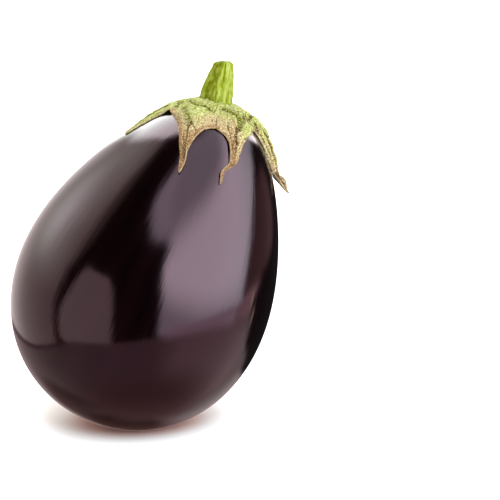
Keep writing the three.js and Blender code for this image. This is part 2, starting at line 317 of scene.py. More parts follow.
# ---- calyx ---------------------------------------------------------------------------------
# Folds, veins and creases, as lines over the crown chart in millimetres: the line, its half
# width, how far it stands up (below zero for a furrow) and how much olive and brown it has.
# Furrows are drawn darker and raised folds lighter: partly the leaf's own colour and partly
# painted shade and painted light.
FOLDS = (
    (((-16, -9), (-15.2, -12.2), (-14.2, -15.8), (-12.8, -19.5), (-11.8, -23)),
     1.5, -0.5, 0.8, 0.1),
    (((-11.6, -22.5), (-11.5, -25.5), (-11.5, -30), (-11.3, -35), (-10, -39.3)),
     0.5, -0.6, 0.3, 0.9),
    (((-11.5, -21.5), (-10.5, -23.2), (-8, -26), (-7.8, -28)), 0.35, -0.4, 0.5, 0.7),
    (((-13.4, -28.5), (-12.6, -32), (-11.4, -37.5)), 0.3, -0.3, 0, 0.6),
    (((-20.8, -13.8), (-19.2, -15.2), (-17.5, -17.5)), 0.26, -0.2, 0.3, 0.5),
    (((-18.8, -17.8), (-17, -18.5), (-15.5, -20)), 0.26, -0.2, 0.3, 0.5),
    (((-17.5, -20.8), (-15.5, -21.8), (-14, -23.2)), 0.26, -0.2, 0.2, 0.5),
    (((-16.5, -24.8), (-14.5, -26), (-12.8, -27.2)), 0.26, -0.2, 0.1, 0.6),
    (((-14.4, -16), (-15.2, -22), (-14.2, -28), (-12.6, -35)), 0.9, 0.4, 0, 0),
    (((-10, -20), (-9.6, -27), (-9.2, -33), (-9, -38)), 0.8, 0.35, 0, 0),
    (((-0.3, -15.8), (0, -18.2), (0.3, -20), (0.6, -22)), 0.2, -0.3, 0.4, 0.9),
    (((-3.5, -21.5), (-0.5, -22)), 0.2, -0.15, 0.2, 0.4),
    (((-2.2, -18.3), (-1.8, -18.7)), 0.3, -0.2, 0.1, 0.9),
    (((-13.5, -2.2), (-11, -8.2), (-9.4, -10.2), (-6.5, -10.8), (-5.2, -11.7), (-2, -12.7)),
     0.62, -1.0, 1.2, 0),
    (((-1.5, -10.5), (-0.2, -9.8), (1.5, -8.6), (3, -8)), 0.4, -0.4, 0.7, 0.15),
    (((-12.4, -2), (-9, -7.3), (-6.8, -8.7), (-4.5, -9.7), (-2.5, -9.6), (1.2, -7.4)),
     1.2, 0.8, -0.4, -0.1),
    (((1.5, -9), (4, -9.6), (7.5, -10.2), (8.8, -11.5), (9.8, -14), (9.8, -18.8)),
     0.9, -0.7, 1.0, 0.3),
    (((9.8, -17), (9.9, -21.2), (11, -23.2), (11.8, -25), (12.4, -27.2)), 0.6, -0.55, 0.5, 1),
    (((11, -2.2), (11.3, -6), (11.2, -9), (11.5, -13.2), (10.6, -17)), 0.9, -0.6, 1.0, 0.4),
    (((5, -17.2), (5.8, -18.8), (6.5, -20.5), (7.5, -22), (8.3, -23.8)), 0.35, -0.35, 0.7, 0.5),
    (((5.8, -13.8), (6.8, -15.2)), 0.35, -0.25, 0.6, 0.2),
    (((10.7, -31.6), (10.7, -29.3), (11.2, -28), (12.3, -27.7), (13, -28.5), (13.4, -30.5)),
     0.3, -0.35, 0.1, 1.1),
    (((10.8, -29.5), (11.8, -31), (12.5, -33), (13, -35)), 0.35, -0.3, 0, 0.7),
    (((9.4, -23.6), (10.4, -25.8), (11.2, -27.4)), 0.5, 0.3, 0, 0.2),
    (((6.5, -12), (7, -15.5), (8, -19), (8.9, -22.5)), 0.7, 0.35, -0.3, 0),
    (((14.4, -26.8), (14.2, -23), (14.8, -20.2), (15.8, -17.8), (16.5, -14.5)),
     0.26, -0.3, 0, 0.8),
    (((12.6, -8), (12.9, -14), (12.9, -20), (13.4, -25)), 1.1, 0.8, -0.2, 0),
    (((4.5, -4), (6.8, -3.8), (8.8, -4.5)), 0.5, -0.4, 0.8, 0.3),
    (((13, 3.2), (13.2, -1), (13.3, -6)), 0.6, -0.4, 0.7, 0.6),
    (((-20.2, -6.3), (-18.8, -4), (-17.4, -2.6)), 0.7, -0.6, 1.3, 0.4),
    (((-19.6, 2), (-18.6, -0.5)), 0.7, -0.4, 1, 0.4),
    (((16, -0.8), (17.6, -1.4), (18.8, -2), (19.6, -2.8)), 0.45, -0.5, 1.2, 0.6),
    (((17.4, -9), (18.4, -5.5)), 0.6, -0.5, 0.2, 0.6),
    (((-24, -6), (-26, -8), (-27.6, -8.6)), 0.6, -0.3, 0.5, 0.6),
)
# Patches of colour: middle over the chart, radius, and how much dry, olive and brown they add.
PATCHES = (
    (-17, -21, 5.5, 0.35, 0, 0.1),
    (-11, -33, 7, 0.45, 0, 0.1),
    (-12, -40, 5, 0.4, 0, 0.2),
    (-2, -20, 7, 0.5, 0, 0),
    (7.5, -19, 5, 0.45, 0, 0.05),
    (-19, -14, 5, 0.3, 0.1, 0),
    (8.2, -7.2, 4.2, -0.5, 0.8, 0.1),
    (4.5, -12.5, 3.2, -0.1, 0.3, 0),
    (14, -12, 4.5, -0.4, 0.1, -0.1),
    (14.4, -13, 0.9, -0.2, 0.6, 0),
    (-3, -7, 6, -0.4, 0, 0),
    (-9, -14, 5, -0.35, 0, 0),
    (-8, -4, 4, -0.5, -0.2, 0),
    (12, -34, 5, 0.4, 0, 0.1),
    (10, -24, 3, 0.5, 0, 0.25),
    (10, 12, 6, 0, 0.5, 0.1),
    (-8, 14, 6, 0.1, 0.5, 0.1),
    (0, 26, 6, 0.4, 0.1, 0.2),
    (37, -6, 5, 0.3, 0.2, 0.5),
    (44.5, 1.5, 4, 0.7, -0.2, 0),
    (27, 1, 8, -0.1, 0.2, 0.15),
    # Painted shade: this small dark brown spot in the right notch stands for the shade in the
    # hollow there.
    (19.6, -3, 1, 0, 0.2, 1.6),
    (-27, -5, 7, -0.25, 0, 0),
)
# Places where the sheet stands off the skin: middle over the chart, radius and lift.
CURLS = (
    (-22.0, -8, 1.8, 1.2),
    (-24.6, -7.2, 1.7, 0.6),
    (16.6, -16, 3.2, 0.3),
    (9.4, -29, 3.6, 0.6),
    (-18, -25, 4.5, 0.15),
    (18, 14, 4.5, 0.8),
    (-14, 19, 4.5, 1.0),
)
# Lines along a sepal: sepal, place across it from its left edge at -1 to its right edge at 1,
# half width, height, and how much olive and brown they add. Sunken lines are drawn darker and
# raised ones lighter: partly the sepal's own colour and partly painted shade and painted light.
STRIPES = (
    (0, -0.92, 0.07, 0.3, -0.4, -0.3),
    (0, -0.78, 0.07, -0.3, 0.5, 1.9),
    (0, -0.6, 0.08, 0.3, -0.8, -0.5),
    (0, -0.44, 0.06, -0.25, 1.0, 1.3),
    (0, -0.28, 0.07, 0.3, -0.8, -0.5),
    (0, -0.08, 0.12, -0.3, 1.6, 0.8),
    (0, 0.16, 0.14, -0.3, 1.4, 0.5),
    (0, 0.7, 0.16, -0.4, 1.2, 0.2),
    (1, 0, 0.12, -0.6, 0.9, 0.4),
    (1, -0.45, 0.1, -0.3, 0.5, 0.2),
    (1, 0.5, 0.12, 0.3, 0, 0),
    (2, 0.05, 0.12, -0.6, 0.9, 0.4),
    (2, 0.45, 0.1, -0.3, 0.5, 0.2),
    (2, -0.5, 0.12, 0.3, 0, 0),
    (3, 0.3, 0.2, -0.3, 2.2, 0.6),
    (3, 0.86, 0.08, -0.1, 0, 0.25),
    (3, -0.5, 0.12, -0.3, 0.6, 0.2),
    (3, 0.66, 0.18, 0.3, -0.8, -0.3),
)


def notch_from(sepal, notch):
    """Where a notch is, along and across a sepal."""
    angle, reach = SINUSES[notch % len(SINUSES)]
    turn = np.radians(angle - SEPALS[sepal]["angle"])
    return reach * np.cos(turn), reach * np.sin(turn)


def sepal_edge(sepal, notch, fall, blade):
    """Where a sepal's edge runs, along and across the sepal."""
    along_notch, across_notch = notch_from(sepal, notch)
    reach = np.hypot(along_notch, across_notch)
    free = BLADE_HALF * (1 - blade) ** BLADE_TAPER + TIP_HALF * blade
    half = (abs(across_notch) - BLADE_HALF) * (1 - blade) ** fall + free
    along = np.sqrt(reach ** 2 - half ** 2) + (SEPALS[sepal]["tip"] - reach) * blade ** 1.5
    return along, np.sign(across_notch) * half


def along_blade(row):
    """Share of the way along a blade, from its notches to its tip."""
    return np.clip((row - SINUS_ROW) / (TIP_ROW - SINUS_ROW), 0, 1)


def sepal_place(sepal, row, across):
    """Chart place of points of a sepal, and their distance from its edge."""
    shape = SEPALS[sepal]
    blade = along_blade(row)
    inner = np.minimum(1, row / SINUS_ROW)
    left_along, left_across = sepal_edge(sepal, sepal - 1, shape["fall"][0], blade)
    right_along, right_across = sepal_edge(sepal, sepal, shape["fall"][1], blade)
    middle = CALYX_MIDDLE + (shape["tip"] - CALYX_MIDDLE) * blade ** 1.2
    to_left = (across * across - across) / 2
    to_right = (across * across + across) / 2
    hook_by, hook_at = shape["hook"]
    sweep = shape["bend"] * blade ** 1.4 + hook_by * smooth((blade - hook_at) / HOOK_LENGTH + 0.5)
    along = inner * (to_left * left_along + (1 - across ** 2) * middle + to_right * right_along)
    aside = inner * (to_left * left_across + to_right * right_across) + sweep
    flare = shape["flare"] * rise_at(blade, *FLARE_START) * (1 - rise_at(blade, *FLARE_END))
    pinch = shape["pinch"] * bump_at(blade, *PINCH)
    swell = shape["swell"] * bump_at(blade, *SWELL) * rise_at(blade, *SWELL_START)
    aside = aside + across * (flare - pinch) + np.maximum(0, across) * swell
    turn = np.radians(shape["angle"])
    half = np.where(across < 0, abs(left_across), abs(right_across))
    from_edge = (1 - abs(across)) * half
    from_notch = (1 - inner) * CALYX_MIDDLE
    x = along * np.cos(turn) - aside * np.sin(turn)
    y = along * np.sin(turn) + aside * np.cos(turn)
    return x, y, np.hypot(from_edge, from_notch)


EDGE_CROWDING = 0.2  # how much closer the columns stand along the edges
LAYERS = ("leaf", "row", "across", "edge")


def flat_sepals():
    """The six sepals as one flat sheet over the chart, with each point's own row and across."""
    sheet = bmesh.new()
    rows = COLLAR_ROWS + BLADE_ROWS
    layers = {name: sheet.verts.layers.float.new(name) for name in LAYERS}
    for sepal in range(len(SEPALS)):
        made = bmesh.ops.create_grid(sheet, x_segments=SEPAL_COLUMNS, y_segments=rows, size=1)
        unit = places_of(made["verts"])
        spread = unit[:, 0]
        across = spread * (1 + EDGE_CROWDING - EDGE_CROWDING * spread ** 2)
        count = np.round((unit[:, 1] + 1) / 2 * rows)
        blade_row = SINUS_ROW + (count - COLLAR_ROWS) / BLADE_ROWS * (TIP_ROW - SINUS_ROW)
        row = np.where(count <= COLLAR_ROWS, count / COLLAR_ROWS * SINUS_ROW, blade_row)
        x, y, edge = sepal_place(sepal, row, across)
        for index, vertex in enumerate(made["verts"]):
            vertex.co = (x[index], y[index], 0)
            vertex[layers["leaf"]] = sepal
            vertex[layers["row"]] = row[index]
            vertex[layers["across"]] = across[index]
            vertex[layers["edge"]] = edge[index]
    bmesh.ops.remove_doubles(sheet, verts=sheet.verts[:], dist=1e-3)
    bmesh.ops.recalc_face_normals(sheet, faces=sheet.faces[:])
    if sum(face.normal.z for face in sheet.faces) < 0:
        bmesh.ops.reverse_faces(sheet, faces=sheet.faces[:])
    bmesh.ops.solidify(sheet, geom=sheet.faces[:], thickness=1)
    return sheet, layers


def from_line(x, y, line):
    """How far places are from the nearest point of a line."""
    nearest = np.full_like(x, 1e6)
    for (ax, ay), (bx, by) in zip(line[:-1], line[1:]):
        length = np.hypot(bx - ax, by - ay)
        along = ((x - ax) * (bx - ax) + (y - ay) * (by - ay)) / length ** 2
        near = np.clip(along, 0, 1)
        away = np.hypot(x - ax - near * (bx - ax), y - ay - near * (by - ay))
        nearest = np.minimum(nearest, away)
    return nearest


CRINKLE_SIZE = 2.6
FINE_CRINKLE_SIZE = 1.25
CRINKLE_HEIGHT = 0.2
WAVER_SIZE = 3.5
WAVER_BY = 0.35  # how far the folds stray from their lines
STRIPE_WAVER = 0.04
FOLD_COLOUR = 1.3
DRY_MARGIN = 3.4  # width of the dry strip along the edges, and of its soft step
DRY_FADE = 3.2
LEAST_DRY = 0.12
TIP_BROWN = 0.2
KNOT_BROWN = 3.2
TROUGH_BROWN = 1.9
TROUGH_HALF = 0.4
RIGHT_BROWN = 0.13
RIGHT_OLIVE = 0.18
EDGE_FADE = 0.9  # the relief fades out over this distance from the edges
RIM_PLACE = 0.55
RIM_HALF = 0.4
RIM_HEIGHT = 0.2
LIP_WIDTH = 0.35
LIP_DROP = 0.12


def of_sepal(value, leaf):
    """One of the sepals' values, for points that lie on the given leaves."""
    return np.array([sepal[value] for sepal in SEPALS])[leaf]


def calyx_relief(x, y, leaf, across, blade, edge):
    """Height of the folds and creases, and the dry, olive and brown share, at chart places."""
    places = on_plan(x, y)
    stray = wander(places, CRINKLE_SIZE, seed=1)
    waver_x = wander(places, WAVER_SIZE, seed=2) * WAVER_BY
    waver_y = wander(places, WAVER_SIZE, seed=3) * WAVER_BY
    coarse = 0.8 - 2 * abs(wander(places, CRINKLE_SIZE, seed=4))
    fine = wander(places, FINE_CRINKLE_SIZE, seed=5)
    crinkle = CRINKLE_HEIGHT * coarse + CRINKLE_HEIGHT * fine
    height = crinkle.copy()
    # The crinkle's hollows turn olive and brown: partly the leaf's own colour and partly painted
    # shade.
    olive = 1.1 * np.maximum(0, -crinkle - 0.06)
    brown = 0.9 * np.maximum(0, -crinkle - 0.1)
    margin = smooth((DRY_MARGIN - edge + 1.3 * stray) / DRY_FADE)
    dry = margin * 0.8 + 0.55 * rise_at(blade, *DRY_START)
    dry = LEAST_DRY + dry * of_sepal("dryness", leaf)
    for line, width, stand, green, dark in FOLDS:
        near = bump(from_line(x + waver_x, y + waver_y, line), width)
        height += stand * near
        olive += FOLD_COLOUR * green * near
        brown += FOLD_COLOUR * dark * near
    for px, py, radius, more_dry, green, dark in PATCHES:
        near = spot_at(x, y, px, py, radius)
        dry += more_dry * near
        olive += green * near
        brown += dark * near
    fades = smooth((edge - 0.2) / 1.2) * smooth(0.2 + blade * 4)
    for sepal, place, width, stand, green, dark in STRIPES:
        near = bump(across - place + STRIPE_WAVER * stray, width) * fades * (leaf == sepal)
        height += stand * near
        olive += green * near
        brown += dark * near
    right = leaf == RIGHT_SEPAL
    tips = rise_at(blade, *TIP_START)
    knot = bump_at(blade, *KNOT) * right
    trough = rise_at(blade, *TROUGH_START) * bump(across, TROUGH_HALF) * right
    brown += TIP_BROWN * tips * (0.5 + stray) + KNOT_BROWN * knot + TROUGH_BROWN * trough
    brown += RIGHT_BROWN * (1 - tips) * right
    olive += RIGHT_OLIVE * right
    olive *= 1 - 0.7 * tips
    dry += 0.5 * tips * (leaf != LEFT_SEPAL)
    rim = RIM_HEIGHT * bump_at(edge, RIM_PLACE, RIM_HALF) * (blade > 0)
    lip = LIP_DROP * (1 - smooth(edge / LIP_WIDTH))
    return height * smooth(edge / EDGE_FADE) + (rim - lip), np.stack([dry, olive, brown], 1)


WAVE_SIZE = 3.4
WAVE_HEIGHT = 0.15
WAVE_REACH = 1.6  # the margin waves over this distance from the edge
KEEL_FALL = 0.6  # share of the keel that is lost towards the tip
HOLLOW_SHARE = 0.85  # share of the keel that the curled tip loses
WELT_HEIGHT = 0.45  # of the swelling round the stem's foot
WELT_HALF = 1.4
HUMP = (7.5, 4.5, 3.6)  # place and radius of the collar's hump
HUMP_HEIGHT = 1.1
RIM_LIGHT = (0.15, 0.32)  # distance of the pale line from the edge, and its half width
FIBRES_ACROSS = 4
FIBRES_APART = 11
FIBRES_ALONG = 0.3


def make_calyx():
    sheet, layers = flat_sepals()
    flat = places_of(sheet.verts)
    leaf, row, across, edge = (
        np.array([vertex[layers[name]] for vertex in sheet.verts]) for name in LAYERS
    )
    leaf = np.round(leaf).astype(int)
    x, y = flat[:, 0], flat[:, 1]
    top = flat[:, 2] > flat[:, 2].mean()
    blade = along_blade(row)
    out = rise_at(row / SINUS_ROW, *COLLAR_THINS)
    lift, lift_from = of_sepal("lift", leaf).T
    rise = np.maximum(0, (blade - lift_from) / (1 - lift_from)) ** 1.5
    wave = np.maximum(0, 0.25 + wander(on_plan(x, y), WAVE_SIZE, seed=6))
    wave = WAVE_HEIGHT * wave * smooth((WAVE_REACH - edge) / WAVE_REACH)
    loose = 1 - rise_at(blade, *SNUG_START) * (leaf == LEFT_SEPAL)
    under = lift * rise + (LEAF_GAP + wave) * (SNUG_SHARE + (1 - SNUG_SHARE) * loose)
    for px, py, radius, stand in CURLS:
        under += stand * spot_at(x, y, px, py, radius)
    curling = rise_at(blade, *CURL_START)
    curled = curling * (1 - rise_at(blade, *CURL_END))
    under += curled * of_sepal("gutter", leaf) * across ** 2
    under += bump_at(blade, *EDGE_LIFT) * of_sepal("edge_lift", leaf) * across ** 2
    under += curled * of_sepal("roll", leaf) * (across + 1) / 2
    ridge = of_sepal("keel", leaf) * (1 - KEEL_FALL * blade)
    ridge = ridge - of_sepal("slump", leaf) * bump_at(blade, *SLUMP)
    ridge = ridge * out * (1 - across ** 2) ** 2
    hollow = ridge * HOLLOW_SHARE * curling
    thick = COLLAR_THICK + (EDGE_THICK - COLLAR_THICK) * out + ridge - hollow
    relief, tone = calyx_relief(x, y, leaf, across, blade, edge)
    from_foot = np.maximum(0, np.hypot(x - STEM_FOOT, y) - STEM_RADIUS)
    thick += WELT_HEIGHT * bump(from_foot, WELT_HALF) + HUMP_HEIGHT * spot_at(x, y, *HUMP)
    height = under + np.maximum(LEAST_THICK, thick + relief)
    points = above_skin(x, y, np.where(top, height, under))
    grain = np.stack([across * FIBRES_ACROSS + leaf * FIBRES_APART, row * FIBRES_ALONG,
                      1 - across ** 2], 1)
    rim = bump_at(edge, *RIM_LIGHT) * smooth(blade * 20)
    masks = {"chart": on_plan(x, y), "tone": tone, "grain": grain, "rim": rim}
    return finished_piece("calyx_leaves", sheet, points, masks)


# ---- stem ----------------------------------------------------------------------------------
# Ribs and grooves round the stem, in degrees: where at the foot and at the cut, half width,
# how far out in millimetres, and how dark (below zero for a light line). The broad dark lines
# on the left are painted shade and the light lines on the right painted light; grooves are
# drawn darker and ridges lighter, partly the stem's own stripes and partly painted shade and
# painted light.
STEM_LINES = (
    (271, 275, 8, 0.3, -0.35),
    (292, 284, 3.5, -0.35, 0.8),
    (236, 248, 15, -0.15, 0.65),
    (250, 262, 4, -0.12, 0.35),
    (222, 236, 4, -0.12, 0.35),
    (313, 305, 18, 0.15, -0.55),
    (330, 326, 3, -0.1, 0.15),
    (346, 344, 8, 0.1, -0.3),
    (204, 212, 5, -0.25, 0.4),
    (186, 190, 5, 0.2, -0.9),
    (12, 8, 6, -0.4, 0.7),
    (40, 36, 8, 0.3, -0.5),
    (66, 70, 6, -0.45, 0.8),
    (96, 92, 8, 0.3, -0.4),
    (124, 128, 6, -0.4, 0.7),
    (155, 150, 8, 0.3, -0.5),
)


NOISE_RADIUS = 6  # the patterns run round a plain stem, without a seam
LUMPS_LENGTH = 5
SCRATCH_LENGTH = 15
LINE_WAVER = 5  # degrees that the lines stray
# Painted shade: the stem's left side is darkened round this direction.
LEFT_PAINTED_SHADE = (236, 28)  # the darker side of the stem, in degrees


def stem_radius(share, turn):
    worn = STEM_SHOULDER * rise_at(share, SHOULDER_START, 1 - SHOULDER_START)
    ribs = 1 + RIB_DEPTH * np.cos(STEM_RIBS * (turn - RIB_ANGLE))
    depth, place, half = STEM_WAIST
    waist = depth * bump_at(share, place, half) * np.maximum(0, -np.cos(turn))
    return (STEM_RADIUS - STEM_TAPER * share - worn) * ribs - waist


def stem_relief(share, turn):
    """How far the stem's side stands out, and how dark it is, with painted shade on its left side
    and in its grooves and painted light on its right side and ridges.
    """
    scratches = around(NOISE_RADIUS, turn, share * SCRATCH_LENGTH)
    lumps = around(NOISE_RADIUS, turn, share * LUMPS_LENGTH)
    degrees = np.degrees(turn)
    waver = LINE_WAVER * wander(scratches, 4, seed=7)
    out = 0.12 * wander(lumps, 1.5, seed=8) + 0.1 * wander(scratches, 2.5, seed=9)
    # The left side's darkening is painted shade.
    dark = 0.3 * wander(lumps, 1.2, seed=10) + 0.4 * bump_at(degrees % 360, *LEFT_PAINTED_SHADE)
    broken = smooth(0.7 + 0.9 * wander(scratches, 2.2, seed=12))
    for at_foot, at_cut, width, stand, shade in STEM_LINES:
        where = at_foot + (at_cut - at_foot) * share
        near = bump((degrees - where + waver + 180) % 360 - 180, width)
        out += stand * near
        dark += shade * near * (broken if shade > 0 else 1)
    return out, dark


def make_stem():
    ball = bmesh.new()
    bmesh.ops.create_uvsphere(ball, u_segments=STEM_SIDES, v_segments=STEM_RINGS, radius=1)
    unit = places_of(ball.verts)
    ring = np.arccos(np.clip(-unit[:, 2], -1, 1)) / np.pi
    turn = np.arctan2(unit[:, 1], unit[:, 0])
    share = np.clip((ring - FOOT_RINGS) / (SIDE_RINGS - FOOT_RINGS), 0, 1)
    on_cut = ring > SIDE_RINGS
    fill = np.where(ring < FOOT_RINGS, ring / FOOT_RINGS, 1)
    fill = np.where(on_cut, (1 - ring) / (1 - SIDE_RINGS), fill)
    relief, dark = stem_relief(share, turn)
    rounded = np.maximum(0, (share - (1 - CUT_ROUND)) / CUT_ROUND) ** 2.5
    near_cut = smooth((1 - share) / 0.03 + 0.5)
    radius = (stem_radius(share, turn) + relief * near_cut - rounded) * fill
    x = radius * np.cos(turn)
    y = radius * np.sin(turn)
    shift = SHOULDER_SHIFT * rise_at(share, SHOULDER_START, 1 - SHOULDER_START)
    cut = (CUT_SLOPE[0] * x + CUT_SLOPE[1] * y) * share ** 4
    domed = CUT_DOME * (1 - fill ** 4) * on_cut
    sunken = 0.1 * on_cut * wander(on_plan(x, y), 1.1, seed=11) - domed
    along = STEM_LENGTH * share + cut - sunken
    upright = leaned(np.stack([x + shift, y, along], 1), STEM_LEAN - LEAN)
    height = COLLAR_THICK + STEM_GAP
    foot = above_skin(np.array([STEM_FOOT]), np.array([0.0]), np.array([height]))[0]
    seat = above_skin(STEM_FOOT + x, y, np.full_like(x, height))
    settle = smooth(np.maximum(0, 1 - share / FOOT_BLEND))[:, None]
    points = (upright + foot) * (1 - settle) + seat * settle
    stalk = around(NOISE_RADIUS, turn, share * STEM_LENGTH)
    face = np.stack([x, y, on_cut * (1.02 - fill)], 1)
    return finished_piece("stem_stalk", ball, points, {"stalk": stalk, "dark": dark, "face": face})


# ---- node writing --------------------------------------------------------------------------
def add(tree, kind, *inputs, out=0, **settings):
    """Adds a node. Inputs are sockets to link or plain values; None leaves one as it is."""
    made = tree.nodes.new("ShaderNode" + kind)
    for name, value in settings.items():
        setattr(made, name, value)
    for index, value in enumerate(inputs):
        plug(tree, made.inputs[index], value)
    return made.outputs[out]


def plug(tree, socket, value):
    if isinstance(value, bpy.types.NodeSocket):
        tree.links.new(value, socket)
    elif value is not None:
        socket.default_value = value


def sums(tree, operation, *inputs):
    return add(tree, "Math", *inputs, operation=operation)


def step_between(tree, value, low, high):
    """0 below low and 1 above high, softly; low may be above high."""
    return add(tree, "MapRange", value, low, high, interpolation_type="SMOOTHSTEP")


def blended(tree, factor, first, second, blend="MIX"):
    """Mixes two colours."""
    made = tree.nodes.new("ShaderNodeMix")
    made.data_type = "RGBA"
    made.blend_type = blend
    plug(tree, made.inputs[0], factor)
    plug(tree, made.inputs[6], first)
    plug(tree, made.inputs[7], second)
    return made.outputs[2]


def new_finish(name, shader_values):
    """A material with its shader's plain values set; returns it, its tree and its shader."""
    finish = bpy.data.materials.new(name)
    finish.use_nodes = True
    tree = finish.node_tree
    shader = tree.nodes["Principled BSDF"]
    for socket, value in shader_values.items():
        shader.inputs[socket].default_value = value
    return finish, tree, shader


def attribute(tree, name, part="Vector"):
    return add(tree, "Attribute", out=part, attribute_name=name)


def parts_of(tree, vector):
    """The three numbers of a vector, as sockets."""
    made = tree.nodes.new("ShaderNodeSeparateXYZ")
    tree.links.new(vector, made.inputs[0])
    return made.outputs


def stretched(tree, place, scale, shift=None):
    return add(tree, "Mapping", place, shift, None, scale)


def noise_of(tree, place, scale, detail, rough, stretch=None):
    if stretch:
        place = stretched(tree, place, stretch)
    return add(tree, "TexNoise", place, None, scale, detail, rough)


def bumped(tree, shader, height, strength, distance):
    made = tree.nodes.new("ShaderNodeBump")
    plug(tree, made.inputs["Strength"], strength)
    plug(tree, made.inputs["Distance"], distance)
    plug(tree, made.inputs["Height"], height)
    tree.links.new(made.outputs[0], shader.inputs["Normal"])


# ---- finishes ------------------------------------------------------------------------------
SKIN_DARK = (0.0012, 0.0004, 0.0006, 1)
SKIN_LIGHT = (0.0060, 0.0012, 0.0022, 1)
SKIN_MIRROR = (1.0, 0.64, 0.75, 1)
LIME = (0.42, 0.5, 0.105, 1)
PALE_LIME = (0.57, 0.58, 0.225, 1)
CREAM = (0.57, 0.42, 0.235, 1)
TAN = (0.41, 0.225, 0.1, 1)
RUST = (0.31, 0.14, 0.05, 1)
RIM_CREAM = (0.6, 0.44, 0.31, 1)
OLIVE = (0.17, 0.185, 0.003, 1)
BARK_BROWN = (0.12, 0.058, 0.014, 1)
PIT_SHADE = (0.37, 0.33, 0.04, 1)
CATCH_LIGHT = (0.78, 0.73, 0.44, 1)
STALK_GREEN = (0.165, 0.215, 0.004, 1)
STALK_LIGHT = (0.325, 0.37, 0.08, 1)
STALK_DARK = (0.1, 0.118, 0.001, 1)
CUT_PALE = (0.42, 0.42, 0.24, 1)
CUT_BROWN = (0.16, 0.10, 0.04, 1)
SCAR_BROWN = (0.11, 0.07, 0.045, 1)
# Painted shadow round the fruit's foot: a darker warm core and a paler warm fringe.
FLOOR_FOOT_SHADOW = (0.91, 0.58, 0.50, 1)
FLOOR_SHADOW_FRINGE = (0.92, 0.83, 0.80, 1)
FLOOR_WHITE = (0.92, 0.92, 0.92, 1)
WHITE = (1, 1, 1, 1)
BUMP_DEPTH = 0.0006


def skin_finish():
    finish, tree, shader = new_finish("aubergine skin", {
        "Specular Tint": SKIN_MIRROR,
        "IOR": 1.5,
    })
    streak = attribute(tree, "streak")
    fine = noise_of(tree, streak, 1.0, 4.0, 0.6, stretch=(34, 34, 3.0))
    hairline = noise_of(tree, streak, 1.0, 3.0, 0.6, stretch=(85, 85, 7.0))
    broad = noise_of(tree, streak, 1.0, 3.0, 0.55, stretch=(7, 7, 1.6))
    tone = sums(tree, "MULTIPLY", step_between(tree, broad, 0.3, 0.75), fine)
    colour = blended(tree, tone, SKIN_DARK, SKIN_LIGHT)
    ragged = sums(tree, "MULTIPLY_ADD", broad, 0.12, parts_of(tree, streak)[2])
    button = step_between(tree, ragged, 0.125, 0.095)
    rubbed = sums(tree, "MULTIPLY", step_between(tree, attribute(tree, "scar", "Fac"), 0.3, 0.9),
                  step_between(tree, hairline, 0.38, 0.6))
    corky = sums(tree, "MAXIMUM", button, sums(tree, "MULTIPLY", rubbed, 0.5))
    plug(tree, shader.inputs["Base Color"], blended(tree, corky, colour, SCAR_BROWN))
    plug(tree, shader.inputs["Roughness"], sums(tree, "MULTIPLY_ADD", corky, 0.4, 0.1))
    ripple = sums(tree, "MULTIPLY_ADD", hairline, 0.35, fine)
    bumped(tree, shader, ripple, 0.2, 0.0002)
    return finish


